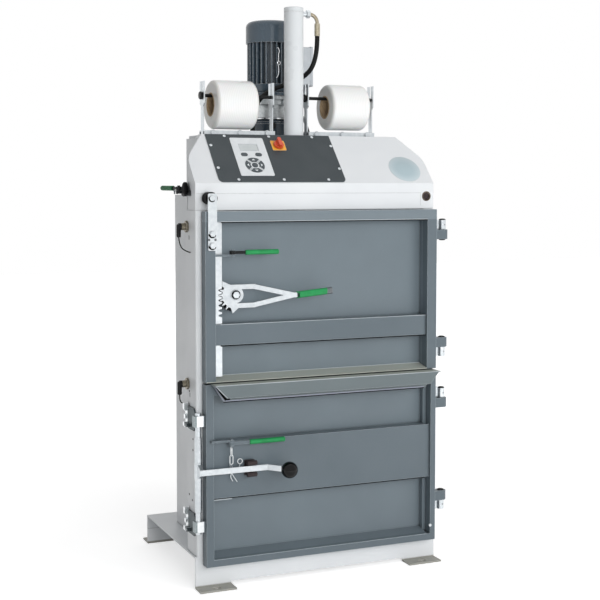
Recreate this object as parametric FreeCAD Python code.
import FreeCAD, Part
import math
import os

from FreeCAD import Vector

# Vertical recycling baler. X to the right, Y into the depth, Z up, millimetres.
# The origin lies on the floor at the centre of the four anchor slots.
# Doors, panel and locks face -Y.

os.makedirs("parts", exist_ok=True)

# ---------------------------------------------------------------- driving dimensions

gap = 0.3                     # seat clearance between pieces that do not weld together
running = 0.05                # radial clearance of pins and shafts

# floor base
base_margin = 6
base_half_depth = 290
base_height = 108
base_skin = 5
foot_width = 128
foot_reach = 56
foot_thickness = 6
foot_relief = 13
rear_upright_height = 56
rear_upright_skin = 3
anchor_slot_radius = 9
anchor_slot_length = 30
anchor_inset_x = 64
anchor_reach = 32

# portal posts and header
post_width = 40
post_depth = 108
post_skin = 4
post_top = 1270
header_height = 48
header_depth = 93

# press chamber
chamber_half_width = 378
jamb_width = 31
chamber_skin = 4
chamber_front = -266
chamber_rear = 155
rib_inset = 14
rib_height = 60
rib_depth = 25
rib_levels = (230, 520, 810, 1100)
floor_thickness = 22
strap_groove_width = 24
strap_groove_depth = 12
strap_grooves = (-270, -90, 90, 270)

# crossbeam, deck and hood
beam_front = -119
beam_rear = 1
beam_skin = 8
beam_height = 198
cheek_skin = 6
cheek_front = -190
deck_thickness = 10
deck_inset = 10
deck_rear = 20
shelf_half_width = 150
shelf_rear = 262
gusset_drop = 116
gusset_skin = 6
hood_inset = 2
hood_front = -285
hood_crease = 1360
hood_skin = 2
slope_angle = 47
slope_length = 230
corner_cut_start = 118
corner_cut_inset = 74
corner_cut_radius = 60
cheek_rear = -205
hood_hem = 14
peephole_radius = 14
peephole_inset = 29
peephole_z = 1314

# press cylinder and ram
cylinder_y = -59
barrel_radius = 35
barrel_bore = 28
barrel_top = 1985
barrel_cap_height = 10
flange_radius = 68
flange_thickness = 16
flange_bolt_circle = 52
flange_bolt_flats = 17
flange_bolt_head = 10
gland_height = 30
rod_radius = 20
piston_height = 40
piston_rest = 1925
platen_side_gap = 4
platen_front = -258
platen_rear = 148
platen_bottom = 1192
platen_plate = 12
platen_height = 60
platen_rib = 10
platen_rib_inset = 20
platen_rib_places = (-300, -100, 100, 300)
platen_socket_radius = 42

# hydraulic fitting and hose
port_z = 1965
port_radius = 9
port_length = 14
nut_flats = 26
nut_length = 12
elbow_radius = 6.5
elbow_bend = 31
ferrule_radius = 10
ferrule_length = 46
hose_radius = 8.5
gland_x = -112
gland_y = 62
gland_radius = 13
gland_rise = 14
return_radius = 4.8
return_port_x = 30
return_port_z = 1660
return_gland_x = 100
return_gland_y = 34
return_nut_flats = 19.5

# power pack
pack_y = 165
tank_radius = 72
tank_top = 1596
tank_rim = 7
bell_top = 1651
bell_top_radius = 60
block_top = 1670
block_half_width = 62
motor_flange_top = 1696
motor_flange_radius = 72
motor_flange_thickness = 12
motor_flange_rim = 6
shield_top = 1726
fins_top = 1878
motor_core_radius = 66
fin_radius = 87
fin_count = 28
fin_thickness = 5
fan_cover_radius = 92
fan_cover_top = 1959
fan_cover_rounding = 22
fan_cover_skin = 3
fan_slot_width = 5
fan_slot_count = 12
fan_slot_start = 18
fan_slot_end = 60
box_outer_x = 152
box_half_depth = 48
box_bottom = 1724
box_top = 1869
box_lid = 8
box_rounding = 8
box_inlet_flats = 24
box_inlet_length = 12

# strapping rolls and holders
roll_y = -13
left_roll_radius = 86
right_roll_radius = 83
left_roll_length = 155
right_roll_length = 150
roll_rounding = 13
core_outer_radius = 42
core_inner_radius = 37.5
left_roll_start = -299
right_roll_start = 142
holder_inner = 66
holder_outer = 331
holder_skin = 4
holder_base_depth = 60
holder_base_height = 20
holder_stem_width = 24
holder_head_width = 46
holder_head_bottom = 1640
holder_top = 1718
roll_rod_radius = 6
roll_rod_z = 1668
knob_radius = 14
knob_length = 9

# control panel on the slope
panel_left = -361
panel_right = 104
panel_bottom = 5
panel_top = 228
panel_skin = 3
panel_corner = 15
keypad_left = -276
keypad_right = -157
keypad_bottom = 33
keypad_top = 209
keypad_proud = 1.2
keypad_depth = 14
keypad_corner = 5
keypad_rim = 1.5
keypad_wall = 0.4
display_left = -252
display_right = -184
display_bottom = 149
display_top = 180
display_recess = 1.2
key_pocket = 5
key_proud = 1.4
key_travel = 1.0
key_clearance = 0.4
arc_key_gap = 2.2
oval_key_length = 24
oval_key_height = 15
oval_key_level = 130
oval_key_spread = 26
cursor_x = -216
cursor_level = 80
cursor_outer = 34
cursor_inner = 16
centre_key_radius = 10.5
switch_x = -104.5
switch_level = 175
switch_plate_width = 51
switch_plate_height = 46
switch_plate_skin = 2
switch_base_radius = 18
switch_base_height = 9
switch_handle_length = 38
switch_handle_width = 13
switch_handle_height = 15
switch_shaft_radius = 4

# doors
door_front = -330
door_inset_left = 21
door_inset_right = 12
door_tube_depth = 38
door_tube_skin = 3
door_recess = 60
door_sheet = 3
upper_bottom = 701
upper_top = 1268
upper_stile = 35
upper_stile_right = 37
upper_rail = 35
ledge_rise = 11
lower_bottom = 80
lower_top = 694
lower_stile = 26
lower_stile_right = 20
lower_rail = 23
lower_pan_lift = 9
lower_ledge_rise = 7
band_front = -320
band_skin = 3
upper_band_bottom = 823
upper_band_top = 893
lower_band_bottom = 309
lower_band_top = 499
pan_margin = 3
pan_clearance = 2

# hinges
hinge_outset = 25
hinge_y = -302
hinge_radius = 19
hinge_block_radius = 13
hinge_pin_radius = 7
hinge_height = 34
hinge_leaf = 14
hinge_leaf_rear = -262
upper_hinge_joints = (1195, 774)
lower_hinge_joints = (590, 217)

# upper lock: rack and toothed sector
tooth_module = 5.35
sector_teeth_round = 20
sector_inset = 111.4          # insets count from the doors' left edge
sector_z = 989
sector_tooth_count = 5
sector_tooth_count_below = 1
sector_rim_count = 13
lock_plane_front = -312
lock_plane_rear = -304
rack_inset = 36
rack_gap_count = 6
rack_gap_count_below = 4
rack_bottom = 718
rack_top = 1250
tooth_backlash = 0.75
sector_hub_radius = 28
sector_bore = 8
pivot_washer_radius = 15
arm_width = 15.7
upper_arm_rise = 26
lower_arm_drop = 36.5
arm_bend_inset = 178
arm_bend_angle = 17
arm_length = 147
arm_meet_z = 985
grip_length = 128
grip_height = 23
grip_thickness = 17
grip_tilt = 5
sector_swing = 35
sector_body_start = 130
sector_body_end = 256
upper_horn = (-46.5, 47)
lower_horn = (-10.5, -62)

# hook plate and roller
hook_inset = 8
hook_width = 31
hook_bottom = 1139
hook_top = 1327
hook_skin = 4
hook_gap = 2
hook_lug_bottom = 1144
hook_lug_top = 1180
hook_bolt_inset = 22
hook_bolt_levels = (1155, 1194)
hook_bolt_radius = 5
hook_bolt_flats = 17
hook_bolt_head = 7
hook_washer_radius = 11
hook_washer_skin = 2
hook_nut_radius = 8
hook_nut_length = 5
roller_z = 1311
roller_radius = 20.5
roller_rear = -290
roller_pin_radius = 6
roller_head_radius = 8

# tape clamp levers
clamp_bar = 12
clamp_bracket_bar = 6
clamp_pin_radius = 5
clamp_pin_head_drop = 4
clamp_eye_radius = 10
clamp_grip_radius = 8.5
upper_clamp_inset = 97
upper_clamp_y = -322
upper_clamp_z = 1125
upper_clamp_reach = 165
upper_clamp_shank = 45
lower_clamp_inset = 84
lower_clamp_y = -341
lower_clamp_z = 490
lower_clamp_reach = 192
lower_clamp_shank = 64
side_clamp_outset = 15
side_clamp_y = -160
side_clamp_z = 1337
side_clamp_reach = 190
side_clamp_shank = 62
side_disc_radius = 17

# lower lock: rod, arm, ball
lock_rod_outset = 22
lock_rod_y = -310
lock_rod_radius = 9.5
lock_rod_bottom = 192
lock_rod_top = 600
bearing_height = 36
bearing_bottoms = (200, 555)
bearing_half_width = 16
bearing_bush_radius = 13
arm_z = 406
arm_height = 19
arm_thickness = 8
arm_plane = -345
arm_hub_radius = 13
arm_gusset = 16
arm_straight_inset = 212
arm_tip_inset = 248
arm_tip_y = -385
ball_radius = 28
ball_inset = 268
ball_y = -403
ball_z = 403
retainer_inset = 137
retainer_width = 35
retainer_roller = 8
retainer_shelf = 5
retainer_clearance = 2

# keeper plates on the left post
keeper_skin = 6
keeper_front = -294
keeper_rear = -190
keeper_levels = (215, 572)
keeper_height = 76
keeper_bolt_radius = 6

# chute lip
lip_front = -374
lip_top = 697
lip_skin = 3
lip_face = 43
lip_inset_left = 16
lip_inset_right = 5
lip_mitre_top = 4
lip_mitre_bottom = 42
lip_rear_sheet_y = -338
lip_rear_drop = 60

# proximity sensors
sensor_y = -203
sensor_levels = (1215, 683)
sensor_radius = 12
sensor_reach = 30
sensor_nut_flats = 34
sensor_nut_height = 8
plug_radius = 7.5
plug_drop = 36
cable_radius = 2

# ring pin and chain at the lower clamp
chain_wire = 3
chain_link_length = 34
chain_link_width = 14
chain_links = 2

# ---------------------------------------------------------------- small helpers


def box(x, y, z):
    """A block between two limits on each axis."""
    corner = Vector(x[0], y[0], z[0])
    return Part.makeBox(x[1] - x[0], y[1] - y[0], z[1] - z[0], corner)


def rod(radius, start, direction, length):
    return Part.makeCylinder(radius, length, Vector(*start), Vector(*direction))


def tube(outer, inner, start, direction, length):
    return rod(outer, start, direction, length).cut(rod(inner, start, direction, length))


def extrude(outline, axis, low, high):
    """A flat outline, in the two other axes in X, Y, Z order, swept along an axis."""
    place = {
        "X": lambda a, b: Vector(low, a, b),
        "Y": lambda a, b: Vector(a, low, b),
        "Z": lambda a, b: Vector(a, b, low),
    }[axis]
    travel = {"X": Vector(1, 0, 0), "Y": Vector(0, 1, 0), "Z": Vector(0, 0, 1)}[axis]
    points = [place(a, b) for a, b in outline]
    face = Part.Face(Part.makePolygon(points + [points[0]]))
    return face.extrude(travel * (high - low))


def hexagon(flats, start, direction, length):
    """A hexagonal prism by its width across flats."""
    corner = flats / math.sqrt(3)
    points = []
    for side in range(6):
        angle = math.radians(60 * side)
        points.append(Vector(corner * math.cos(angle), corner * math.sin(angle), 0))
    prism = Part.Face(Part.makePolygon(points + [points[0]])).extrude(Vector(0, 0, length))
    turn = FreeCAD.Rotation(Vector(0, 0, 1), Vector(*direction))
    prism.Placement = FreeCAD.Placement(Vector(*start), turn)
    return prism


def join(shapes):
    body = shapes[0]
    if len(shapes) > 1:
        body = body.fuse(shapes[1:])
    return body.removeSplitter()


def cut(body, tools):
    return body.cut(tools).removeSplitter()


def round_edges(body, radius, wanted):
    edges = [edge for edge in body.Edges if wanted(edge)]
    return body.makeFillet(radius, edges)


def bevel_ends(body, size):
    """Break the sharp rims of a turned piece."""
    rims = [edge for edge in body.Edges if isinstance(edge.Curve, Part.Circle)]
    return body.makeChamfer(size, rims)


def mirrored(shape):
    return shape.mirror(Vector(0, 0, 0), Vector(1, 0, 0))


def runs_along(edge, axis):
    """True where an edge is straight and parallel to the named axis."""
    if not isinstance(edge.Curve, (Part.Line, Part.LineSegment)):
        return False
    step = edge.Vertexes[-1].Point - edge.Vertexes[0].Point
    parts = {"X": step.x, "Y": step.y, "Z": step.z}
    return abs(abs(parts[axis]) - step.Length) < 1e-6


def rounded_block(x, y, z, radius, axis):
    """A block whose four edges along one axis are rounded."""
    block = box(x, y, z)
    return round_edges(block, radius, lambda edge: runs_along(edge, axis))


def on_slope(shape):
    """Carry a shape drawn flat (X, distance up the slope, height) onto the hood's slope."""
    placed = shape.copy()
    placed.rotate(Vector(0, 0, 0), Vector(1, 0, 0), slope_angle)
    placed.translate(Vector(0, hood_front, hood_crease))
    return placed


def save(name, *solids):
    shape = solids[0] if len(solids) == 1 else Part.makeCompound(list(solids))
    shape.exportStep("parts/" + name + ".step")
    print(name, len(shape.Solids), "valid" if shape.isValid() else "NOT VALID")


def route(points):
    """Straight runs joined by tangent arcs, and the arcs' radii."""
    corners = [Vector(*point) for point in points]
    edges = []
    radii = []
    start = corners[0]
    for before, corner, after in zip(corners, corners[1:], corners[2:]):
        back = (before - corner).normalize()
        ahead = (after - corner).normalize()
        half_turn = (math.pi - back.getAngle(ahead)) / 2
        shorter = min((before - corner).Length, (after - corner).Length)
        radius = 0.45 * shorter / math.tan(half_turn)
        reach = radius * math.tan(half_turn)
        inward = (back + ahead).normalize()
        middle = corner + inward * (radius / math.cos(half_turn) - radius)
        first = corner + back * reach
        last = corner + ahead * reach
        edges.append(Part.LineSegment(start, first).toShape())
        edges.append(Part.Arc(first, middle, last).toShape())
        radii.append(round(radius))
        start = last
    edges.append(Part.LineSegment(start, corners[-1]).toShape())
    return Part.Wire(edges), radii


def cord(name, radius, points):
    """A round cord swept along its route."""
    path, radii = route(points)
    ahead = Vector(*points[1]) - Vector(*points[0])
    section = Part.Wire(Part.makeCircle(radius, Vector(*points[0]), ahead))
    solid = path.makePipeShell([section], True, False)
    share = solid.Volume / (math.pi * radius ** 2 * path.Length)
    print(name, "radii", radii, "length", round(path.Length), "volume share", round(share, 4))
    save(name, solid)


# ---------------------------------------------------------------- worked-out places

post_front = -base_half_depth
post_inner = chamber_half_width + jamb_width
post_half_span = post_inner + post_width
base_half_width = post_half_span + base_margin
frame_top = post_top + header_height
deck_bottom = frame_top + beam_height
hood_bottom = post_top + gap
cheek_inner = chamber_half_width - cheek_skin
deck_top = deck_bottom + deck_thickness
chamber_inner = chamber_half_width - chamber_skin
platen_half_width = chamber_inner - platen_side_gap
deck_half_width = chamber_half_width - deck_inset
hood_half_width = post_half_span - hood_inset
peephole_x = hood_half_width - peephole_inset
floor_top = base_height + floor_thickness
slope_cos = math.cos(math.radians(slope_angle))
slope_sin = math.sin(math.radians(slope_angle))
hood_top_y = hood_front + slope_length * slope_cos
hood_top = hood_crease + slope_length * slope_sin
door_left = door_inset_left - post_half_span
door_right = post_half_span - door_inset_right
lip_left = door_left + lip_inset_left
lip_right = door_right - lip_inset_right
hinge_x = post_half_span + hinge_outset
door_rear = door_front + door_recess
door_tube_rear = door_front + door_tube_depth
sector_x = door_left + sector_inset
rack_left = door_left + rack_inset
arm_bend_x = door_left + arm_bend_inset
hook_left = door_left + hook_inset
hook_right = hook_left + hook_width
hook_bolt_x = door_left + hook_bolt_inset
roller_x = hook_bolt_x
upper_clamp_x = door_left + upper_clamp_inset
lower_clamp_x = door_left + lower_clamp_inset
side_clamp_x = -post_half_span - side_clamp_outset
lock_rod_x = door_left - lock_rod_outset
arm_straight_end = door_left + arm_straight_inset
arm_tip_x = door_left + arm_tip_inset
ball_x = door_left + ball_inset
retainer_left = door_left + retainer_inset
retainer_right = retainer_left + retainer_width
pitch = math.pi * tooth_module
pitch_radius = tooth_module * sector_teeth_round / 2
rack_pitch_line = sector_x - pitch_radius
rack_right = rack_pitch_line + tooth_module
rack_travel = pitch_radius * math.radians(sector_swing)
roll_z = roll_rod_z + roll_rod_radius + gap - core_inner_radius


# ---------------------------------------------------------------- floor base and frame


def make_base():
    side = (-base_half_width, base_half_width)
    depth = (-base_half_depth, base_half_depth)
    shell = box(side, depth, (0, base_height))
    inner = box(
        (side[0] - 1, side[1] + 1),
        (depth[0] + base_skin, depth[1] - base_skin),
        (-1, base_height - base_skin),
    )
    relief_span = base_half_width - foot_width
    relief = box((-relief_span, relief_span), (-500, 500), (-1, foot_relief))
    base = shell.cut([inner, relief])
    feet = []
    slots = []
    for across in (-1, 1):
        for along in (-1, 1):
            x_outer = across * base_half_width
            x_inner = across * (base_half_width - foot_width)
            y_plate = along * base_half_depth
            y_tip = along * (base_half_depth + foot_reach)
            x_pair = sorted((x_outer, x_inner))
            y_pair = sorted((y_plate, y_tip))
            feet.append(box(x_pair, y_pair, (0, foot_thickness)))
            if along > 0:
                inside = (y_plate - base_skin - rear_upright_skin, y_plate - base_skin)
                feet.append(box(x_pair, inside, (0, rear_upright_height)))
            centre_x = across * (base_half_width - anchor_inset_x)
            centre_y = along * (base_half_depth + anchor_reach)
            slots.append(anchor_slot(centre_x, centre_y))
    base = join([base] + feet)
    save("base_frame", cut(base, slots), make_chamber_floor())


def anchor_slot(x, y):
    half = anchor_slot_length / 2 - anchor_slot_radius
    depth = foot_thickness + 2
    middle = box(
        (x - half, x + half),
        (y - anchor_slot_radius, y + anchor_slot_radius),
        (-1, depth - 1),
    )
    ends = [rod(anchor_slot_radius, (x + side * half, y, -1), (0, 0, 1), depth) for side in (-1, 1)]
    return join([middle] + ends)


def make_portal():
    outer = box(
        (-post_half_span, -post_inner),
        (post_front, post_front + post_depth),
        (base_height, post_top),
    )
    bore = box(
        (-post_half_span + post_skin, -post_inner - post_skin),
        (post_front + post_skin, post_front + post_depth - post_skin),
        (base_height - 1, post_top + 1),
    )
    outer = round_edges(outer, 2 * post_skin, lambda edge: runs_along(edge, "Z"))
    post = outer.cut(bore)
    front = hood_front + hood_skin
    reach = hood_half_width - hood_skin
    header = box((-reach, reach), (front, front + header_depth), (post_top, frame_top))
    inside = box((-reach - 1, reach + 1),
                 (front + post_skin, front + header_depth - post_skin),
                 (post_top + post_skin, frame_top - post_skin))
    save("portal_frame", header.cut(inside), post, mirrored(post))


def make_press_box():
    header_rear = hood_front + hood_skin + header_depth
    profile = [
        (chamber_front, base_height), (chamber_front, post_top), (header_rear, post_top),
        (header_rear, frame_top), (chamber_rear, frame_top), (chamber_rear, base_height),
    ]
    left = extrude(profile, "X", -chamber_half_width, -chamber_inner)
    jamb = box((-post_inner, -chamber_half_width), (chamber_front, chamber_front + chamber_skin),
               (base_height, post_top))
    wall = left.fuse(jamb)
    rear = box((-chamber_half_width, chamber_half_width), (chamber_rear, chamber_rear + chamber_skin),
               (base_height, frame_top))
    ribs = [make_rib(level) for level in rib_levels]
    save("press_box", join([rear, wall, mirrored(wall)] + ribs))


def make_rib(level):
    """A folded hat section across the back of the chamber."""
    front = chamber_rear + chamber_skin
    slant = rib_depth / 2
    outer = [
        (front, level), (front + rib_depth, level + slant),
        (front + rib_depth, level + rib_height - slant), (front, level + rib_height),
    ]
    inner = [
        (front, level + chamber_skin * 1.5), (front + rib_depth - chamber_skin, level + slant + 2),
        (front + rib_depth - chamber_skin, level + rib_height - slant - 2),
        (front, level + rib_height - chamber_skin * 1.5),
    ]
    half = chamber_inner - rib_inset
    return extrude(outer, "X", -half, half).cut(extrude(inner, "X", -half - 1, half + 1))


def make_chamber_floor():
    plate = box((-chamber_inner, chamber_inner), (chamber_front, chamber_rear),
                (base_height, floor_top))
    grooves = []
    for x in strap_grooves:
        grooves.append(box((x - strap_groove_width / 2, x + strap_groove_width / 2),
                           (chamber_front - 1, chamber_rear + 1),
                           (floor_top - strap_groove_depth, floor_top + 1)))
    return cut(plate, grooves)


def make_crossbeam():
    outer = box((-cheek_inner, cheek_inner), (beam_front, beam_rear), (frame_top, deck_bottom))
    bore = box((-cheek_inner - 1, cheek_inner + 1),
               (beam_front + beam_skin, beam_rear - beam_skin),
               (frame_top + beam_skin, deck_bottom - beam_skin))
    under = hood_crease - hood_skin / slope_cos - gap
    rise = slope_sin / slope_cos
    cheek = extrude([
        (cheek_front, frame_top), (cheek_front, under + (cheek_front - hood_front) * rise),
        (hood_front + (deck_bottom - under) / rise, deck_bottom), (deck_rear, deck_bottom),
        (deck_rear, frame_top),
    ], "X", -chamber_half_width, -cheek_inner)
    passage = rod(barrel_radius + gap, (0, cylinder_y, frame_top - 1), (0, 0, 1), beam_height + 2)
    save("crossbeam", join([outer.cut(bore), cheek, mirrored(cheek)]).cut(passage))


def make_deck():
    front = box((-deck_half_width, deck_half_width), (beam_front, deck_rear),
                (deck_bottom, deck_top))
    shelf = box((-shelf_half_width, shelf_half_width), (deck_rear, shelf_rear),
                (deck_bottom, deck_top))
    gusset = extrude(
        [(beam_rear, deck_bottom), (shelf_rear - 10, deck_bottom),
         (shelf_rear - 10, deck_bottom - 12), (beam_rear, deck_bottom - gusset_drop)],
        "X", shelf_half_width - 2 * gusset_skin, shelf_half_width - gusset_skin)
    passage = rod(barrel_radius + gap, (0, cylinder_y, deck_bottom - 1), (0, 0, 1),
                  deck_thickness + 2)
    hose_holes = [
        rod(hose_radius + 1, (x, y, deck_bottom - 1), (0, 0, 1), deck_thickness + 2)
        for x, y in ((gland_x, gland_y), (return_gland_x, return_gland_y))
    ]
    deck = join([front, shelf, gusset, mirrored(gusset)])
    save("top_deck", deck.cut([passage] + hose_holes))


# ---------------------------------------------------------------- hood


def hood_corner_cutter():
    """What the rounded upper corners of the hood leave away, drawn in X and Z."""
    cut_z = hood_crease + corner_cut_start * slope_sin
    low = (hood_half_width, cut_z)
    high = (hood_half_width - corner_cut_inset, hood_top)
    far = 60
    outline = [low, high, (high[0], high[1] + far), (low[0] + far, high[1] + far), (low[0] + far, low[1])]
    return extrude(outline, "Y", hood_front - far, beam_front + far)


def make_hood():
    far_y = hood_top_y + 30
    outer_profile = [
        (hood_front, hood_bottom), (hood_front, hood_crease), (hood_top_y, hood_top),
        (far_y, hood_top), (far_y, hood_bottom),
    ]
    body = extrude(outer_profile, "X", -hood_half_width, hood_half_width)
    wedge = hood_corner_cutter()
    body = body.cut([wedge, mirrored(wedge)])
    body = round_edges(body, corner_cut_radius, is_corner_edge)
    inside = inner_hood_block(far_y)
    shell = body.cut(inside)
    back = box((-500, 500), (far_y - 1, far_y + 50), (hood_bottom - 1, hood_top + 1))
    hem_z = hood_crease + (cheek_rear - hood_front) * math.tan(math.radians(slope_angle)) - hood_hem
    low_back = extrude([
        (cheek_rear, hood_bottom - 1), (cheek_rear, hem_z), (hood_top_y, hood_top - hood_hem),
        (far_y + 50, hood_top - hood_hem), (far_y + 50, hood_bottom - 1),
    ], "X", -500, 500)
    shell = shell.cut([back, low_back])
    peephole = rod(peephole_radius, (peephole_x, hood_front - 1, peephole_z), (0, 1, 0), 4)
    opening = on_slope(keypad_outline(-20, 20, keypad_wall))
    shaft_hole = on_slope(rod(switch_shaft_radius + 2, (switch_x, switch_level, -20), (0, 0, 1), 40))
    shell = shell.cut([peephole, opening, shaft_hole])
    solids = sorted(shell.Solids, key=lambda solid: solid.Volume)
    save("hood", solids[-1].removeSplitter())


def is_corner_edge(edge):
    """The long edge where the hood's side turns into its cut corner."""
    if not runs_along(edge, "Y"):
        return False
    point = edge.Vertexes[0].Point
    cut_z = hood_crease + corner_cut_start * slope_sin
    return abs(abs(point.x) - hood_half_width) < 1 and abs(point.z - cut_z) < 1


def inner_hood_block(far_y):
    """The hood's inside, one sheet thickness smaller."""
    lower = hood_crease - hood_skin * math.tan(math.radians(slope_angle / 2))
    profile = [
        (hood_front + hood_skin, hood_bottom - 1), (hood_front + hood_skin, lower),
        (hood_top_y + hood_skin * math.tan(math.radians(slope_angle / 2)), hood_top - hood_skin),
        (far_y + 1, hood_top - hood_skin), (far_y + 1, hood_bottom - 1),
    ]
    block = extrude(profile, "X", -hood_half_width + hood_skin, hood_half_width - hood_skin)
    wedge = hood_corner_cutter()
    wedge.translate(Vector(-hood_skin, 0, -hood_skin))
    block = block.cut([wedge, mirrored(wedge)])
    return block


# ---------------------------------------------------------------- press cylinder and ram


def make_cylinder():
    bottom = frame_top - flange_thickness
    barrel = rod(barrel_radius, (0, cylinder_y, bottom), (0, 0, 1), barrel_top - bottom)
    barrel = round_edges(barrel, 3, lambda edge: edge.BoundBox.ZMin > barrel_top - 1)
    flange = rod(flange_radius, (0, cylinder_y, bottom), (0, 0, 1), flange_thickness)
    bolts = []
    for quarter in range(4):
        angle = math.radians(45 + 90 * quarter)
        x = flange_bolt_circle * math.cos(angle)
        y = cylinder_y + flange_bolt_circle * math.sin(angle)
        head_low = bottom - flange_bolt_head
        bolts.append(hexagon(flange_bolt_flats, (x, y, head_low), (0, 0, 1), flange_bolt_head))
    floor = bottom + gland_height
    bore = rod(barrel_bore, (0, cylinder_y, floor), (0, 0, 1), barrel_top - barrel_cap_height - floor)
    rod_hole = rod(rod_radius + running, (0, cylinder_y, bottom - 1), (0, 0, 1), gland_height + 2)
    cap_z = barrel_top - 1.8 * barrel_cap_height
    groove = tube(barrel_radius + 1, barrel_radius - 1, (0, cylinder_y, cap_z), (0, 0, 1), 2)
    port = rod(4, (0, cylinder_y, port_z), (1, 0, 0), barrel_radius + 1)
    body = join([barrel, flange] + bolts)
    save("cylinder_barrel", body.cut([bore, rod_hole, groove, port]))


def make_ram():
    top = piston_rest + piston_height
    platen_top = platen_bottom + platen_plate
    shaft = rod(rod_radius, (0, cylinder_y, platen_top), (0, 0, 1), top - platen_top)
    piston = rod(barrel_bore - running, (0, cylinder_y, piston_rest), (0, 0, 1), piston_height)
    piston = bevel_ends(piston, 1.5)
    save("piston_rod", join([shaft, piston]))
    plate = box((-platen_half_width, platen_half_width), (platen_front, platen_rear),
                (platen_bottom, platen_top))
    ribs = []
    rib_top = platen_bottom + platen_height
    for x in platen_rib_places:
        ribs.append(box((x - platen_rib / 2, x + platen_rib / 2),
                        (platen_front + platen_rib_inset, platen_rear - platen_rib_inset),
                        (platen_top, rib_top)))
    for y in (platen_front + 2 * platen_rib_inset, cylinder_y, platen_rear - 2 * platen_rib_inset):
        ribs.append(box((platen_rib_inset - platen_half_width, platen_half_width - platen_rib_inset),
                        (y - platen_rib / 2, y + platen_rib / 2), (platen_top, rib_top)))
    socket = rod(platen_socket_radius, (0, cylinder_y, platen_top), (0, 0, 1), platen_height)
    seat = rod(rod_radius + gap, (0, cylinder_y, platen_top), (0, 0, 1), platen_height + 1)
    grooves = []
    for x in strap_grooves:
        grooves.append(box((x - strap_groove_width / 2, x + strap_groove_width / 2),
                           (platen_front - 1, platen_rear + 1),
                           (platen_bottom - 1, platen_bottom + platen_plate / 2)))
    save("press_platen", cut(join([plate] + ribs + [socket]), [seat] + grooves))


# ---------------------------------------------------------------- fitting, hose, power pack


def make_fittings():
    start = barrel_radius - 1
    boss = rod(port_radius, (start, cylinder_y, port_z), (1, 0, 0), port_length + 1)
    boss_hollow = rod(barrel_radius + running, (0, cylinder_y, port_z - 20), (0, 0, 1), 40)
    nut_x = barrel_radius + port_length
    nut = hexagon(nut_flats, (nut_x, cylinder_y, port_z), (1, 0, 0), nut_length)
    bore = rod(3, (start - 1, cylinder_y, port_z), (1, 0, 0), port_length + nut_length + 4)
    glands = [
        hexagon(2 * gland_radius, (x, y, deck_top), (0, 0, 1), gland_rise)
        for x, y in ((gland_x, gland_y), (return_gland_x, return_gland_y))
    ]
    return_face = pack_y - block_half_width - nut_length
    return_nut = hexagon(return_nut_flats, (return_port_x, return_face, return_port_z), (0, 1, 0), nut_length)
    save("hose_fittings", join([boss, nut]).cut([boss_hollow, bore]), return_nut, *glands)
    elbow_x = nut_x + nut_length
    arc_centre = Vector(elbow_x, cylinder_y, port_z - elbow_bend)
    ring = Part.makeTorus(elbow_bend, elbow_radius, arc_centre, Vector(0, 1, 0), -180, 180, 360)
    quarter = box((elbow_x, elbow_x + 100), (cylinder_y - 20, cylinder_y + 20),
                  (port_z - elbow_bend, port_z + 20))
    drop_x = elbow_x + elbow_bend
    ferrule = rod(ferrule_radius, (drop_x, cylinder_y, port_z - elbow_bend - ferrule_length),
                  (0, 0, 1), ferrule_length)
    ferrule = bevel_ends(ferrule, 1.5)
    save("brass_elbow", join([ring.common(quarter), ferrule]))
    hose_top = port_z - elbow_bend - ferrule_length
    hose_bottom = deck_top + gland_rise
    cord("hydraulic_hose", hose_radius, [
        (drop_x, cylinder_y, hose_top - gap),
        (drop_x, cylinder_y, 1791),
        (50, 10, 1730),
        (-60, 52, 1698),
        (gland_x, gland_y, 1628),
        (gland_x, gland_y, hose_bottom + gap),
    ])


def make_return_hose():
    start_y = pack_y - block_half_width - nut_length - 2
    cord("return_hose", return_radius, [
        (return_port_x, start_y, return_port_z),
        (41, 31, 1645),
        (76, 15, 1593),
        (return_gland_x, return_gland_y, deck_top + gland_rise + 2.4),
    ])


def make_power_pack():
    axis = (0, 0, 1)
    tank = rod(tank_radius, (0, pack_y, deck_top), axis, tank_top - deck_top)
    tank = round_edges(tank, 8, lambda edge: edge.BoundBox.ZMin > tank_top - 1)
    rim = rod(tank_radius + 2, (0, pack_y, tank_top), axis, tank_rim)
    band = tube(tank_radius + 2, tank_radius - 1, (0, pack_y, tank_top - 16), axis, 7)
    save("oil_tank", join([tank, rim, band]))
    bell_bottom = tank_top + tank_rim
    bell = Part.makeCone(tank_radius - 4, bell_top_radius, bell_top - bell_bottom,
                         Vector(0, pack_y, bell_bottom), Vector(0, 0, 1))
    block = box((-block_half_width, block_half_width),
                (pack_y - block_half_width, pack_y + block_half_width), (bell_top, block_top))
    flange = rod(motor_flange_radius, (0, pack_y, block_top), axis,
                 motor_flange_top - block_top - motor_flange_thickness)
    save("bell_housing", join([bell, block, flange]))
    make_motor()


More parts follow.
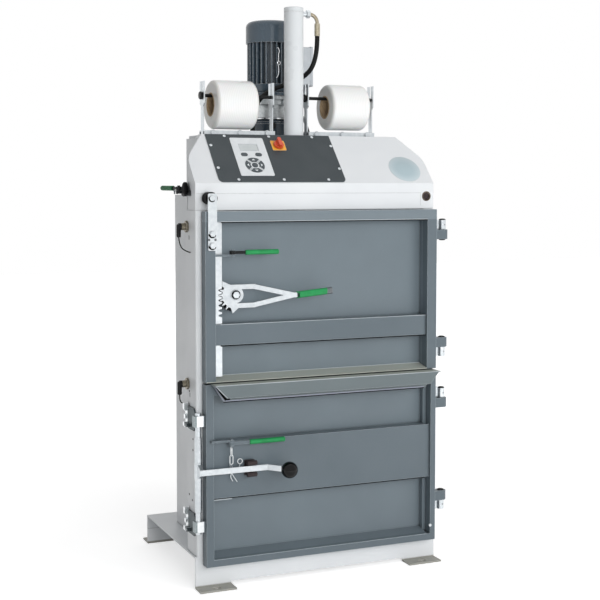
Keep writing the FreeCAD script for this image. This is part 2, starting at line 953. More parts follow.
def make_motor():
    axis = (0, 0, 1)
    bottom = motor_flange_top - motor_flange_thickness
    flange = rod(motor_flange_radius + motor_flange_rim, (0, pack_y, bottom), axis, motor_flange_thickness)
    shield = Part.makeCone(motor_flange_radius, fin_radius - 2, shield_top - motor_flange_top,
                           Vector(0, pack_y, motor_flange_top), Vector(0, 0, 1))
    core = rod(motor_core_radius, (0, pack_y, shield_top), axis, fins_top - shield_top)
    fins = []
    for count in range(fin_count):
        fin = box((motor_core_radius - 2, fin_radius), (-fin_thickness / 2, fin_thickness / 2),
                  (shield_top, fins_top))
        fin.rotate(Vector(0, 0, 0), Vector(0, 0, 1), 360 * (count + 0.5) / fin_count)
        fin.translate(Vector(0, pack_y, 0))
        fins.append(fin)
    body = join([flange, shield, core] + fins)
    notch_x = motor_core_radius - 1
    notch = box((notch_x, fin_radius + 1), (pack_y - box_half_depth - 1, pack_y + box_half_depth + 1),
                (box_bottom - 1, box_top + 1))
    save("motor_body", cut(body, [notch]))
    case = rounded_block((notch_x + gap, box_outer_x - box_lid),
                         (pack_y - box_half_depth, pack_y + box_half_depth),
                         (box_bottom, box_top), box_rounding, "X")
    cover = rounded_block((box_outer_x - box_lid, box_outer_x),
                          (pack_y - box_half_depth - 2, pack_y + box_half_depth + 2),
                          (box_bottom - 2, box_top + 2), box_rounding, "X")
    inlet_x = box_outer_x - 5 * box_lid
    inlet = hexagon(box_inlet_flats, (inlet_x, pack_y, box_bottom - box_inlet_length), (0, 0, 1),
                    box_inlet_length + 1)
    clear = rod(motor_core_radius + gap, (0, pack_y, box_bottom - 20), (0, 0, 1), 200)
    save("terminal_box", join([case, cover, inlet]).cut(clear))
    make_fan_cover()


def make_fan_cover():
    height = fan_cover_top - fins_top
    outer = rod(fan_cover_radius, (0, pack_y, fins_top), (0, 0, 1), height)
    outer = round_edges(outer, fan_cover_rounding, lambda edge: edge.BoundBox.ZMin > fan_cover_top - 1)
    inner = rod(fan_cover_radius - fan_cover_skin, (0, pack_y, fins_top - 1), (0, 0, 1),
                height - fan_cover_skin + 1)
    inner = round_edges(inner, fan_cover_rounding - fan_cover_skin,
                        lambda edge: edge.BoundBox.ZMin > fan_cover_top - fan_cover_skin - 1)
    seat = tube(fan_cover_radius - 1, motor_core_radius + gap, (0, pack_y, fins_top), (0, 0, 1), 3)
    slots = []
    for count in range(fan_slot_count):
        slot = box((fan_slot_start, fan_slot_end), (-fan_slot_width / 2, fan_slot_width / 2),
                   (-2 * fan_cover_skin, 1))
        slot.rotate(Vector(0, 0, 0), Vector(0, 0, 1), 360 * count / fan_slot_count)
        slot.translate(Vector(0, pack_y, fan_cover_top))
        slots.append(slot)
    shell = join([outer.cut(inner), seat])
    save("fan_cover", shell.cut(slots))


# ---------------------------------------------------------------- strapping rolls


def make_holder(side):
    inner = side * holder_inner
    outer = side * holder_outer
    x_pair = sorted((inner, outer))
    y_pair = (roll_y - holder_base_depth / 2, roll_y + holder_base_depth / 2)
    base_top = deck_top + holder_base_height
    base = box(x_pair, y_pair, (deck_top, base_top))
    hollow = box((x_pair[0] - 1, x_pair[1] + 1), (y_pair[0] + holder_skin, y_pair[1] - holder_skin),
                 (deck_top - 1, base_top - holder_skin))
    parts = [base.cut(hollow)]
    for x in (inner, outer - side * holder_skin):
        faces = sorted((x, x + side * holder_skin))
        parts.append(holder_upright(faces))
    return join(parts)


def holder_upright(faces):
    stem = holder_stem_width / 2
    head = holder_head_width / 2
    outline = [
        (roll_y - stem, deck_top), (roll_y - stem, holder_head_bottom - 10),
        (roll_y - head, holder_head_bottom), (roll_y - head, holder_top),
        (roll_y + head, holder_top), (roll_y + head, holder_head_bottom),
        (roll_y + stem, holder_head_bottom - 10), (roll_y + stem, deck_top),
    ]
    plate = extrude(outline, "X", faces[0], faces[1])
    slot_radius = roll_rod_radius + gap
    width = faces[1] - faces[0] + 2
    round_end = rod(slot_radius, (faces[0] - 1, roll_y, roll_rod_z), (1, 0, 0), width)
    throat = box((faces[0] - 1, faces[1] + 1), (roll_y - slot_radius, roll_y + slot_radius),
                 (roll_rod_z, holder_top + 1))
    return plate.cut([round_end, throat])


def make_roll_rods():
    rods = []
    for left in (-holder_outer, holder_inner):
        start = left - knob_length - gap
        length = holder_outer - holder_inner + knob_length + gap + 6
        shaft = rod(roll_rod_radius, (start, roll_y, roll_rod_z), (1, 0, 0), length)
        knob = rod(knob_radius, (start, roll_y, roll_rod_z), (1, 0, 0), knob_length)
        knob = bevel_ends(knob, 2)
        rods.append(join([shaft, knob]))
    save("roll_rods", *rods)


def make_rolls():
    for name, radius, start, length in (
        ("left", left_roll_radius, left_roll_start, left_roll_length),
        ("right", right_roll_radius, right_roll_start, right_roll_length),
    ):
        film = rod(radius, (start, roll_y, roll_z), (1, 0, 0), length)
        film = round_edges(film, roll_rounding, lambda edge: isinstance(edge.Curve, Part.Circle))
        film = film.cut(rod(core_outer_radius, (start - 1, roll_y, roll_z), (1, 0, 0), length + 2))
        save(name + "_film_roll", film)
        core = tube(core_outer_radius, core_inner_radius, (start - 1, roll_y, roll_z), (1, 0, 0), length + 2)
        save(name + "_core", core)
    save("roll_holders", make_holder(-1), make_holder(1))
    make_roll_rods()


# ---------------------------------------------------------------- control panel


def keypad_outline(low, high, grow):
    return rounded_block((keypad_left - grow, keypad_right + grow),
                         (keypad_bottom - grow, keypad_top + grow), (low, high),
                         keypad_corner, "Z")


def oval(x, length, height, low, high, grow):
    """A flat pill shape lying along X on the slope."""
    radius = height / 2 + grow
    half = length / 2 - height / 2
    middle = box((x - half, x + half), (oval_key_level - radius, oval_key_level + radius), (low, high))
    ends = [rod(radius, (x + side * half, oval_key_level, low), (0, 0, 1), high - low)
            for side in (-1, 1)]
    return join([middle] + ends)


def cursor_ring(low, high, grow):
    outer = rod(cursor_outer + grow, (cursor_x, cursor_level, low), (0, 0, 1), high - low)
    inner = rod(cursor_inner - grow, (cursor_x, cursor_level, low), (0, 0, 1), high - low)
    return outer.cut(inner)


def cursor_quarter(turn, low, high):
    """A wedge, a little under a quarter turn, that leaves one arc key of the ring."""
    reach = 2 * cursor_outer
    outline = [(arc_key_gap, 0), (reach, reach - arc_key_gap), (reach, -reach + arc_key_gap)]
    wedge = extrude(outline, "Z", low - 1, high + 1)
    wedge.rotate(Vector(0, 0, 0), Vector(0, 0, 1), turn)
    wedge.translate(Vector(cursor_x, cursor_level, 0))
    return wedge


def make_panel():
    plate = box((panel_left, panel_right), (panel_bottom, panel_top), (0, panel_skin))
    plate = round_edges(plate, panel_corner,
                        lambda edge: runs_along(edge, "Z") and edge.BoundBox.YMax < panel_bottom + 1)
    opening = keypad_outline(-1, panel_skin + 1, keypad_wall)
    shaft_hole = rod(switch_shaft_radius + 2, (switch_x, switch_level, -1), (0, 0, 1), panel_skin + 2)
    save("panel_plate", on_slope(plate.cut([opening, shaft_hole])))
    make_keypad()
    make_switch()


def make_keypad():
    top = panel_skin + keypad_proud
    housing = keypad_outline(top - keypad_depth, top, 0)
    flange = rounded_block((keypad_left - keypad_rim, keypad_right + keypad_rim),
                           (keypad_bottom - keypad_rim, keypad_top + keypad_rim),
                           (panel_skin, top), keypad_corner, "Z")
    window = box((display_left, display_right), (display_bottom, display_top),
                 (top - display_recess - 1.5, top + 1))
    floor = top - key_pocket
    pockets = [
        oval(x, oval_key_length, oval_key_height, floor, top + 1, key_clearance)
        for x in (cursor_x - oval_key_spread, cursor_x + oval_key_spread)
    ]
    pockets.append(cursor_ring(floor, top + 1, key_clearance))
    pockets.append(rod(centre_key_radius + key_clearance, (cursor_x, cursor_level, floor), (0, 0, 1),
                       key_pocket + 1))
    save("keypad_housing", on_slope(join([housing, flange]).cut([window] + pockets)))
    glass = box((display_left + gap, display_right - gap), (display_bottom + gap, display_top - gap),
                (top - display_recess - 1.5, top - display_recess))
    save("display_window", on_slope(glass))
    key_low = floor + key_travel + gap
    key_high = top + key_proud
    for name, side in (("left_key", -1), ("right_key", 1)):
        key_x = cursor_x + side * oval_key_spread
        save(name, on_slope(oval(key_x, oval_key_length, oval_key_height, key_low, key_high, 0)))
    ring = cursor_ring(key_low, key_high, 0)
    for name, turn in (("up_key", 90), ("left_arc_key", 180), ("down_key", 270), ("right_arc_key", 0)):
        save(name, on_slope(ring.common(cursor_quarter(turn, key_low, key_high))))
    centre = rod(centre_key_radius, (cursor_x, cursor_level, key_low), (0, 0, 1), key_high - key_low)
    save("centre_key", on_slope(centre))


def make_switch():
    plate = rounded_block((switch_x - switch_plate_width / 2, switch_x + switch_plate_width / 2),
                          (switch_level - switch_plate_height / 2, switch_level + switch_plate_height / 2),
                          (panel_skin, panel_skin + switch_plate_skin), 3, "Z")
    hole = rod(switch_shaft_radius + running, (switch_x, switch_level, 0), (0, 0, 1), 10)
    save("switch_plate", on_slope(plate.cut(hole)))
    base_low = panel_skin + switch_plate_skin + gap
    base = rod(switch_base_radius, (switch_x, switch_level, base_low), (0, 0, 1), switch_base_height)
    base = bevel_ends(base, 1.5)
    handle_low = base_low + switch_base_height - 2
    handle = rounded_block((switch_x - switch_handle_width / 2, switch_x + switch_handle_width / 2),
                           (switch_level - switch_handle_length / 2, switch_level + switch_handle_length / 2),
                           (handle_low, handle_low + switch_handle_height), 5, "Z")
    shaft = rod(switch_shaft_radius, (switch_x, switch_level, -6), (0, 0, 1), base_low + 8)
    save("switch_knob", on_slope(join([base, handle, shaft])))


# ---------------------------------------------------------------- doors


def door_ring(bottom, top, left_stile, right_stile, low_rail, high_rail):
    """A welded frame of square tube, hollow inside."""
    depth = (door_front, door_tube_rear)
    outer = box((door_left, door_right), depth, (bottom, top))
    hole = box((door_left + left_stile, door_right - right_stile), (door_front - 1, door_tube_rear + 1),
               (bottom + low_rail, top - high_rail))
    frame = outer.cut(hole)
    skin = door_tube_skin
    inner_outer = box((door_left + skin, door_right - skin), (door_front + skin, door_tube_rear - skin),
                      (bottom + skin, top - skin))
    inner_hole = box((door_left + left_stile - skin, door_right - right_stile + skin), depth,
                     (bottom + low_rail - skin, top - high_rail + skin))
    return frame.cut(inner_outer.cut(inner_hole))


def door_pan(bottom, top, left_stile, right_stile, low_rail, high_rail, lift, rise):
    """The folded tray behind the frame, with its ledge sloping down to the front."""
    left = door_left + left_stile
    edge = door_right - right_stile
    right = min(edge, post_inner - pan_clearance - pan_margin)
    rail_top = bottom + low_rail
    low = rail_top + lift
    high = top - high_rail
    outer = box((left - pan_margin, right + pan_margin), (door_tube_rear, door_rear),
                (low - pan_margin, high + pan_margin))
    inner = box((left, right), (door_tube_rear - 1, door_rear - door_sheet), (low, high))
    profile = [
        (door_front + 1, rail_top), (door_rear - door_sheet, low + rise), (door_rear - door_sheet, low),
        (door_tube_rear, low),
    ]
    if lift > 0:
        profile.append((door_tube_rear, rail_top))
    ledge = extrude(profile, "X", left, right)
    parts = [outer.cut(inner), ledge]
    if edge > right:
        parts.append(box((right, edge), (door_tube_rear - pan_margin, door_tube_rear), (rail_top, high)))
    return join(parts)


def door_band(bottom, top, left, right):
    """A folded channel across the tray, open towards the sheet."""
    outer = box((left, right), (band_front, door_rear - door_sheet), (bottom, top))
    hollow = box((left - 1, right + 1), (band_front + band_skin, door_rear - door_sheet + 1),
                 (bottom + band_skin, top - band_skin))
    return outer.cut(hollow)


def hinge_lug(low, high):
    knuckle = tube(hinge_radius, hinge_pin_radius + running, (hinge_x, hinge_y, low), (0, 0, 1), high - low)
    leaf = box((door_right, hinge_x), (hinge_y - hinge_radius, hinge_y - 1), (low, high))
    bore = rod(hinge_pin_radius + running, (hinge_x, hinge_y, low - 1), (0, 0, 1), high - low + 2)
    return join([knuckle, leaf]).cut(bore)


def hinge_block(low, high, lug_low, lug_high):
    """The portal's half of a hinge with its pin, which reaches through the door's lug."""
    knuckle = rod(hinge_block_radius, (hinge_x, hinge_y, low), (0, 0, 1), high - low)
    leaf = box((post_half_span, hinge_x), (hinge_y, hinge_leaf_rear), (low, high))
    pin_low = min(low, lug_low)
    pin_high = max(high, lug_high)
    pin = rod(hinge_pin_radius, (hinge_x, hinge_y, pin_low), (0, 0, 1), pin_high - pin_low)
    return join([knuckle, leaf, pin])


def hinge_spans(joint, block_above):
    """Heights of the portal's block and of the door's lug, either side of their joint."""
    above = (joint + gap / 2, joint + hinge_height)
    below = (joint - hinge_height, joint - gap / 2)
    return (above, below) if block_above else (below, above)


def make_hinges():
    blocks = []
    for joints in (upper_hinge_joints, lower_hinge_joints):
        for joint, block_above in zip(joints, (True, False)):
            block, lug = hinge_spans(joint, block_above)
            blocks.append(hinge_block(block[0], block[1], lug[0], lug[1]))
    save("hinge_blocks", *blocks)


def lugs(joints):
    made = []
    for joint, block_above in zip(joints, (True, False)):
        lug = hinge_spans(joint, block_above)[1]
        made.append(hinge_lug(lug[0], lug[1]))
    return made


def make_upper_door():
    frame = door_ring(upper_bottom, upper_top, upper_stile, upper_stile_right, door_tube_skin, upper_rail)
    bracket = clamp_bracket(door_left + upper_stile, upper_clamp_x, upper_clamp_y, upper_clamp_z, False)
    rack_slot = box((rack_left - 1, rack_right + 1), (lock_plane_front - 1, lock_plane_rear + 1),
                    (upper_top - upper_rail - 1, upper_top + 1))
    bolt_slots = []
    for level in hook_bolt_levels:
        low = level - hook_bolt_radius - 1
        high = level + rack_travel + hook_bolt_radius + 1
        width = hook_bolt_radius + gap
        bolt_slots.append(box((hook_bolt_x - width, hook_bolt_x + width),
                              (door_front - 1, door_front + door_tube_skin + 1), (low, high)))
    body = join([frame, bracket] + lugs(upper_hinge_joints))
    save("upper_door_frame", body.cut([rack_slot] + bolt_slots))
    left = door_left + upper_stile
    right = door_right - upper_stile_right
    pan = door_pan(upper_bottom, upper_top, upper_stile, upper_stile_right, door_tube_skin, upper_rail,
                   0, ledge_rise)
    band = door_band(upper_band_bottom, upper_band_top, left, right)
    rack_way = box((rack_left - 1, rack_right + 1), (lock_plane_front - 1, lock_plane_rear + 1),
                   (upper_band_bottom - 1, upper_band_top + 1))
    stud = rod(sector_bore, (sector_x, lock_plane_front - 1, sector_z), (0, 1, 0),
               door_rear - door_sheet - lock_plane_front + 1)
    spacer_start = lock_plane_rear + gap
    spacer = rod(pivot_washer_radius, (sector_x, spacer_start, sector_z), (0, 1, 0),
                 door_rear - door_sheet - spacer_start)
    washer = rod(pivot_washer_radius - 2, (sector_x, lock_plane_front - gap - 3, sector_z), (0, 1, 0), 3)
    head = hexagon(19, (sector_x, lock_plane_front - gap - 9, sector_z), (0, 1, 0), 7)
    save("upper_door_panel", join([pan, band.cut(rack_way), stud, spacer, washer, head]))


def make_lower_door():
    frame = door_ring(lower_bottom, lower_top, lower_stile, lower_stile_right, lower_rail, upper_rail)
    left = door_left + lower_stile
    bracket = clamp_bracket(left, lower_clamp_x, lower_clamp_y, lower_clamp_z, True)
    blocks, bores = rod_bearings()
    body = join([frame, bracket] + blocks + lugs(lower_hinge_joints))
    save("lower_door_frame", body.cut(bores))
    pan = door_pan(lower_bottom, lower_top, lower_stile, lower_stile_right, lower_rail, upper_rail,
                   lower_pan_lift, lower_ledge_rise)
    right = min(door_right - lower_stile_right, post_inner - pan_clearance - pan_margin)
    band = door_band(lower_band_bottom, lower_band_top, left, right)
    front_strip = box((right, door_right - lower_stile_right), (band_front, band_front + band_skin),
                      (lower_band_bottom, lower_band_top))
    save("lower_door_panel", join([pan, band, front_strip]))
    make_lip()


def make_lip():
    """The sheet lip that material slides over, with mitred ends."""
    top_inner = lip_top - lip_skin
    flange = box((lip_left, lip_right), (lip_front, door_tube_rear), (top_inner, lip_top))
    face_low = lip_top - lip_face
    face = extrude([
        (lip_left, lip_top), (lip_left + lip_mitre_bottom, face_low),
        (lip_right - lip_mitre_bottom, face_low), (lip_right - lip_mitre_top, lip_top),
    ], "Y", lip_front, lip_front + lip_skin)
    rear_low = lip_top - lip_rear_drop
    rear = extrude([
        (lip_left + lip_mitre_top, lip_top - lip_skin), (lip_left + lip_mitre_bottom, rear_low),
        (lip_right - lip_mitre_bottom, rear_low), (lip_right - lip_mitre_top, lip_top - lip_skin),
    ], "Y", lip_rear_sheet_y, lip_rear_sheet_y + lip_skin)
    save("chute_lip", join([flange, face, rear]))


# ---------------------------------------------------------------- upper lock


def tooth_flanks(half_angle_deg, root, tip, centre_angle):
    """One tooth of the sector, drawn about its pivot in X and Z."""
    points = []
    tip_half = half_angle_deg * 0.42
    root_half = half_angle_deg * 1.28
    for radius, half in ((root, root_half), (tip, tip_half)):
        for sign in (-1, 1):
            angle = math.radians(centre_angle + sign * half)
            points.append((sector_x + radius * math.cos(angle), sector_z + radius * math.sin(angle)))
    low_left, low_right, high_left, high_right = points
    return [low_left, high_left, high_right, low_right]


def polar(radius, angle):
    turn = math.radians(angle)
    return (sector_x + radius * math.cos(turn), sector_z + radius * math.sin(turn))


def make_sector():
    step = 360 / sector_teeth_round
    root = pitch_radius - 1.25 * tooth_module
    tip = pitch_radius + tooth_module - tooth_backlash
    plane = (lock_plane_front, lock_plane_rear)
    thickness = plane[1] - plane[0]
    span = sector_body_end - sector_body_start
    rim_step = span / sector_rim_count
    rim = [polar(root, sector_body_start + rim_step * count) for count in range(sector_rim_count + 1)]
    body = extrude([(sector_x, sector_z)] + rim, "Y", plane[0], plane[1])
    high_edge = sector_z + upper_arm_rise + arm_width / 2
    low_edge = sector_z - lower_arm_drop - arm_width / 2
    high_horn = extrude([
        (sector_x, sector_z), (sector_x - 18, high_edge),
        (sector_x + upper_horn[0], sector_z + upper_horn[1]), (rack_right + 0.9, sector_z + 30),
        polar(root - 1, sector_body_start + 19),
    ], "Y", plane[0], plane[1])
    low_horn = extrude([
        (sector_x, sector_z), polar(root - 1, sector_body_end - 8),
        (sector_x + lower_horn[0], sector_z + lower_horn[1]), (sector_x + 10, low_edge),
    ], "Y", plane[0], plane[1])
    hub = rod(sector_hub_radius, (sector_x, plane[0], sector_z), (0, 1, 0), thickness)
    teeth = []
    quarter_angle = step / 4 * (1 - tooth_backlash / tooth_module)
    for count in range(-sector_tooth_count_below, sector_tooth_count - sector_tooth_count_below):
        outline = tooth_flanks(quarter_angle, root - 1, tip, 180 + count * step)
        teeth.append(extrude(outline, "Y", plane[0], plane[1]))
    arms = sector_arms(plane)
    bore = rod(sector_bore + running, (sector_x, plane[0] - 1, sector_z), (0, 1, 0), thickness + 2)
    lever = join([hub, body, high_horn, low_horn] + teeth + arms)
    save("sector_lever", lever.cut(bore))
    make_sector_grip()


def sector_arms(plane):
    """Two flat arms leave the hub, bend towards the operator and meet at the neck."""
    half = arm_width / 2
    high = sector_z + upper_arm_rise
    low = sector_z - lower_arm_drop
    flat_upper = box((sector_x - 27, arm_bend_x), plane, (high - half, high + half))
    flat_lower = box((sector_x - 10, arm_bend_x), plane, (low - half, low + half))
    neck = arm_bend_x + arm_length
    bent = []
    for z in (high, low):
        arm = extrude([
            (arm_bend_x, z - half), (neck - 10, arm_meet_z - half), (neck, arm_meet_z - half),
            (neck, arm_meet_z + half), (neck - 10, arm_meet_z + half), (arm_bend_x, z + half),
        ], "Y", plane[0], plane[1])
        arm.rotate(Vector(arm_bend_x, plane[1], 0), Vector(0, 0, 1), -arm_bend_angle)
        bent.append(arm)
    fill = rod(plane[1] - plane[0], (arm_bend_x, plane[1], low - half), (0, 0, 1), arm_width)
    upper_fill = rod(plane[1] - plane[0], (arm_bend_x, plane[1], high - half), (0, 0, 1), arm_width)
    wedge = box((arm_bend_x - 0.1, arm_bend_x + 20), (plane[0] - 20, plane[1]), (low - 20, high + 20))
    return [flat_upper, flat_lower, fill.common(wedge), upper_fill.common(wedge)] + bent


def neck_point():
    """Where the bent arms end, on the middle of their thickness."""
    turn = math.radians(arm_bend_angle)
    thickness = lock_plane_rear - lock_plane_front
    x = arm_bend_x + arm_length * math.cos(turn) - thickness / 2 * math.sin(turn)
    y = lock_plane_rear - arm_length * math.sin(turn) - thickness / 2 * math.cos(turn)
    return x, y


def make_sector_grip():
    x, y = neck_point()
    half_y = grip_thickness / 2
    half_z = grip_height / 2
    grip = rounded_block((x - 2, x + grip_length), (y - half_y, y + half_y),
                         (arm_meet_z - half_z, arm_meet_z + half_z), half_y - 0.5, "X")
    pocket = box((x - 8, x + 7), (y - 16, y + 16), (arm_meet_z - arm_width / 2, arm_meet_z + arm_width / 2))
    grip.rotate(Vector(x, y, arm_meet_z), Vector(0, 1, 0), -grip_tilt)
    save("lever_grip", grip.cut(pocket))


def make_rack():
    bar = box((rack_left, rack_right), (lock_plane_front, lock_plane_rear), (rack_bottom, rack_top))
    root = rack_pitch_line - 1.25 * tooth_module
    opening = pitch / 4 + tooth_backlash / 2
    slope = tooth_module * math.tan(math.radians(20))
    deep = 1.25 * tooth_module * math.tan(math.radians(20))
    gaps = []
    for count in range(-rack_gap_count_below, rack_gap_count - rack_gap_count_below):
        z = sector_z + count * pitch
        outline = [
            (root, z - opening + deep), (rack_right + 1, z - opening - slope),
            (rack_right + 1, z + opening + slope), (root, z + opening - deep),
        ]
        gaps.append(extrude(outline, "Y", lock_plane_front - 1, lock_plane_rear + 1))
    save("rack_bar", cut(bar, gaps))


def make_hook():
    front = door_front - hook_gap - hook_skin
    rear = front + hook_skin
    plate = rounded_block((hook_left, hook_right), (front, rear), (hook_bottom, hook_top), 5, "Y")
    lug = box((hook_right - hook_skin, hook_right), (front + 1, lock_plane_front),
              (hook_lug_bottom, hook_lug_top))
    parts = [plate, lug]
    for level in hook_bolt_levels:
        washer_front = front - hook_washer_skin
        head_front = washer_front - hook_bolt_head
        parts.append(rod(hook_washer_radius, (hook_bolt_x, washer_front, level), (0, 1, 0),
                         hook_washer_skin + 1))
        parts.append(hexagon(hook_bolt_flats, (hook_bolt_x, head_front, level), (0, 1, 0),
                             hook_bolt_head + 1))
        shank_end = door_front + door_tube_skin + 8
        parts.append(rod(hook_bolt_radius, (hook_bolt_x, front, level), (0, 1, 0), shank_end - front))
        nut_start = door_front + door_tube_skin + gap
        parts.append(rod(hook_nut_radius, (hook_bolt_x, nut_start, level), (0, 1, 0), hook_nut_length))
    parts.append(rod(roller_head_radius, (roller_x, front - 3, roller_z), (0, 1, 0), 4))
    parts.append(rod(roller_pin_radius, (roller_x, front, roller_z), (0, 1, 0), roller_rear - front))
    save("hook_plate", join(parts))
    roller = tube(roller_radius, roller_pin_radius + gap, (roller_x, rear + gap, roller_z), (0, 1, 0),
                  roller_rear - rear - 2 * gap - 2)
    save("latch_roller", roller)


# ---------------------------------------------------------------- tape clamp levers


def clamp_bracket(anchor_x, pivot_x, pivot_y, level, above):
    """A flat bar from the stile to the lever's pin, over or under the lever's eye."""
    low = level + clamp_bar + gap if above else level - clamp_bracket_bar - gap
    high = low + clamp_bracket_bar
    side = (pivot_y - clamp_bar / 2, pivot_y + clamp_bar / 2)
    parts = [box((anchor_x - 1, pivot_x), side, (low, high))]
    if side[0] < door_front:
        parts.append(box((anchor_x - 12, anchor_x + 4), (side[0], door_front + 1), (low, high)))
    parts.append(rod(clamp_eye_radius, (pivot_x, pivot_y, low), (0, 0, 1), clamp_bracket_bar))
    pin_low = min(low, level) - 3
    pin_high = max(high, level + clamp_bar) + 3
    parts.append(rod(clamp_pin_radius, (pivot_x, pivot_y, pin_low), (0, 0, 1), pin_high - pin_low))
    head = pin_low - 1 if above else pin_high - 2
    parts.append(rod(clamp_pin_radius + 2, (pivot_x, pivot_y, head), (0, 0, 1), 3 - gap))
    return join(parts)


def clamp_lever(x, y, z, reach, shank):
    """An eye on the pin, a flat shank and a round grip."""
    eye = rod(clamp_eye_radius, (x, y, z), (0, 0, 1), clamp_bar)
    middle = z + clamp_bar / 2
    flat = box((x, x + shank + 10), (y - 3, y + 3), (z + 1, z + clamp_bar - 1))
    grip = rod(clamp_grip_radius, (x + shank, y, middle), (1, 0, 0), reach - shank)
    grip = bevel_ends(grip, 2.5)
    bore = rod(clamp_pin_radius + running, (x, y, z - 1), (0, 0, 1), clamp_bar + 2)
    return join([eye, flat, grip]).cut(bore)


def make_clamps():
    save("upper_clamp_lever",
         clamp_lever(upper_clamp_x, upper_clamp_y, upper_clamp_z, upper_clamp_reach, upper_clamp_shank))
    save("lower_clamp_lever",
         clamp_lever(lower_clamp_x, lower_clamp_y, lower_clamp_z, lower_clamp_reach, lower_clamp_shank))
    side = clamp_lever(0, 0, 0, side_clamp_reach, side_clamp_shank)
    side.rotate(Vector(0, 0, 0), Vector(0, 0, 1), 90)
    side.translate(Vector(side_clamp_x, side_clamp_y, side_clamp_z))
    save("side_clamp_lever", side)
    low = side_clamp_z - clamp_bar - gap
    arm = box((side_clamp_x, -hood_half_width), (side_clamp_y - 10, side_clamp_y + 10),
              (low, side_clamp_z - gap))
    drop = box((-hood_half_width - 5, -hood_half_width), (side_clamp_y - 80, side_clamp_y + 10),
               (low - 6, side_clamp_z - gap))
    eye = rod(clamp_eye_radius, (side_clamp_x, side_clamp_y, low), (0, 0, 1), clamp_bar)
    pin = rod(clamp_pin_radius, (side_clamp_x, side_clamp_y, low), (0, 0, 1), 2 * clamp_bar + 4)
    disc = rod(side_disc_radius, (-hood_half_width - 12, side_clamp_y - 30, side_clamp_z - 4), (1, 0, 0), 12)
    save("side_clamp_bracket", join([arm, drop, eye, pin, disc]))


# ---------------------------------------------------------------- lower lock


def rod_bearings():
    """Two blocks on the lower door's edge with bores for the lock rod."""
    blocks = []
    bores = []
    for bottom in bearing_bottoms:
        blocks.append(box((lock_rod_x - bearing_half_width, door_left),
                          (lock_rod_y - bearing_half_width + 4, lock_rod_y + bearing_half_width - 4),
                          (bottom, bottom + bearing_height)))
        bores.append(rod(lock_rod_radius + running, (lock_rod_x, lock_rod_y, bottom - 1), (0, 0, 1),
                         bearing_height + 2))
    return blocks, bores


def make_lower_lock():
    height = lock_rod_top - lock_rod_bottom
    save("lock_rod", rod(lock_rod_radius, (lock_rod_x, lock_rod_y, lock_rod_bottom), (0, 0, 1), height))
    make_lock_arm()
    make_retainer()


def make_lock_arm():
    low = arm_z - arm_height / 2
    high = arm_z + arm_height / 2
    half = arm_thickness / 2
    hub = rod(arm_hub_radius, (lock_rod_x, lock_rod_y, low - arm_gusset), (0, 0, 1),
              arm_height + 2 * arm_gusset)
    gusset = extrude([
        (arm_plane - half, low), (arm_plane - half, high), (lock_rod_y - 9, high + arm_gusset),
        (lock_rod_y, high + arm_gusset), (lock_rod_y, low - arm_gusset), (lock_rod_y - 9, low - arm_gusset),
    ], "X", lock_rod_x - 6, lock_rod_x + 6)
    bar = box((lock_rod_x - 6, arm_straight_end), (arm_plane - half, arm_plane + half), (low, high))
    tip = extrude([
        (arm_straight_end - 2, arm_plane - half), (arm_straight_end, arm_plane + half),
        (arm_tip_x + half, arm_tip_y + half), (arm_tip_x - half, arm_tip_y - half),
    ], "Z", low, high)
    bore = rod(lock_rod_radius + gap, (lock_rod_x, lock_rod_y, low - arm_gusset - 1), (0, 0, 1),
               arm_height + 2 * arm_gusset + 2)
    save("lock_arm", join([hub, gusset, bar, tip]).cut(bore))
    ball = Part.makeSphere(ball_radius, Vector(ball_x, ball_y, ball_z))
    socket = extrude([
        (arm_straight_end - 2, arm_plane - half - gap), (arm_straight_end, arm_plane + half + gap),
        (arm_tip_x + half + gap, arm_tip_y + half), (arm_tip_x - half, arm_tip_y - half - gap),
    ], "Z", low - gap, high + gap)
    save("ball_knob", ball.cut(socket))


def make_retainer():
    """Two rollers on shelves hold the closed arm between them."""
    low = arm_z - arm_height / 2
    high = arm_z + arm_height / 2
    side = (retainer_left, retainer_right)
    width = retainer_right - retainer_left
    reach = retainer_clearance + retainer_roller
    parts = [box(side, (band_front - 5, band_front), (low - reach - 6, high + reach + 6))]
    for z in (low - reach, high + reach):
        parts.append(box((retainer_left + 6, retainer_right - 6), (arm_plane, band_front - 4),
                         (z - retainer_shelf / 2, z + retainer_shelf / 2)))
        roller = rod(retainer_roller, (retainer_left, arm_plane - 3, z), (1, 0, 0), width)
        parts.append(bevel_ends(roller, 1.2))
    save("arm_retainer", join(parts))


def make_keepers():
    plates = []
    for level in keeper_levels:
        low = level - keeper_height / 2
        high = level + keeper_height / 2
        outer = -post_half_span - keeper_skin
        plate = extrude([
            (keeper_rear, low), (keeper_rear, high), (keeper_front + 20, high),
            (keeper_front, high - 20), (keeper_front, low + 20), (keeper_front + 20, low),
        ], "X", outer, -post_half_span)
        parts = [plate]
        for offset in (-28, 0, 28):
            parts.append(hexagon(16, (outer - 8, keeper_rear - 14, level + offset), (1, 0, 0), 9))
        parts.append(rod(keeper_bolt_radius, (outer - 14, keeper_rear - 50, level - 24), (1, 0, 0), 15))
        plates.append(join(parts))
    save("keeper_plates", *plates)


# ---------------------------------------------------------------- sensors and chain


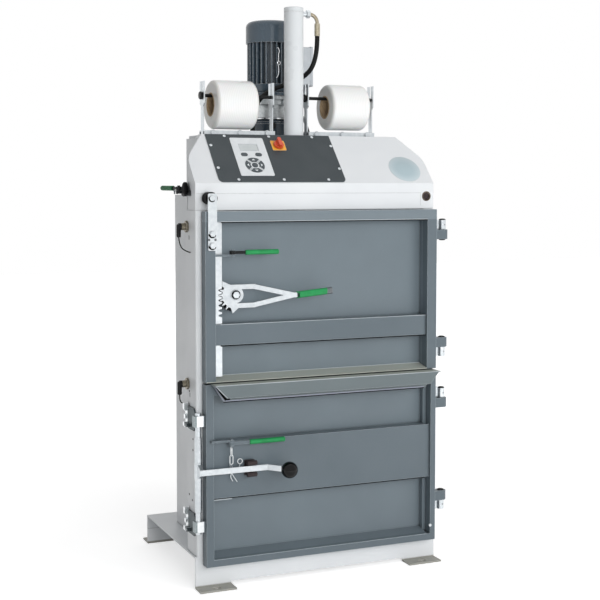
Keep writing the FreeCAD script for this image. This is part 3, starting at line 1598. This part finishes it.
def make_sensors():
    bodies = []
    for level in sensor_levels:
        start = -post_half_span
        barrel = rod(sensor_radius, (start - sensor_reach, sensor_y, level), (1, 0, 0), sensor_reach)
        nut = hexagon(sensor_nut_flats, (start - sensor_nut_height, sensor_y, level), (1, 0, 0),
                      sensor_nut_height)
        plug = rod(plug_radius, (start - sensor_reach, sensor_y, level - plug_drop), (0, 0, 1), plug_drop + 8)
        plug = bevel_ends(plug, 2.5)
        bodies.append(join([barrel, nut, plug]))
    save("door_sensors", *bodies)
    for name, level, steps in (
        ("upper_sensor_cable", sensor_levels[0], ((0, -3, -18), (7, -20, -44), (28, -38, -51))),
        ("lower_sensor_cable", sensor_levels[1], ((0, 2, -17), (10, 13, -34), (28.5, 21, -38))),
    ):
        start = (-post_half_span - sensor_reach, sensor_y, level - plug_drop - gap)
        points = [start] + [(start[0] + dx, start[1] + dy, start[2] + dz) for dx, dy, dz in steps]
        cord(name, cable_radius, points)


def chain_link(z, turned):
    """One link of the chain, a bent wire loop with round ends."""
    reach = chain_link_length / 2 - chain_link_width / 2
    bend = chain_link_width / 2 - chain_wire / 2
    half_wire = chain_wire / 2
    sides = [rod(half_wire, (side * bend, 0, -reach), (0, 0, 1), 2 * reach) for side in (-1, 1)]
    ends = []
    for end in (-1, 1):
        ring = Part.makeTorus(bend, half_wire, Vector(0, 0, end * reach), Vector(0, 1, 0))
        keep = box((-20, 20), (-5, 5), sorted((end * reach, end * 40)))
        ends.append(ring.common(keep))
    link = join(sides + ends)
    if turned:
        link.rotate(Vector(0, 0, 0), Vector(0, 0, 1), 90)
    link.translate(Vector(lower_clamp_x, lower_clamp_y, z))
    return link


def make_chain():
    step = chain_link_length - 2 * chain_wire - gap
    top = lower_clamp_z - clamp_pin_head_drop - gap - chain_link_length / 2
    links = [chain_link(top - count * step, count % 2 == 0) for count in range(chain_links)]
    save("ring_chain", *links)


# ---------------------------------------------------------------- build

make_base()
make_portal()
make_press_box()
make_crossbeam()
make_deck()
make_hood()
make_cylinder()
make_ram()
make_fittings()
make_return_hose()
make_power_pack()
make_rolls()
make_panel()
make_hinges()
make_upper_door()
make_lower_door()
make_sector()
make_rack()
make_hook()
make_clamps()
make_lower_lock()
make_keepers()
make_sensors()
make_chain()
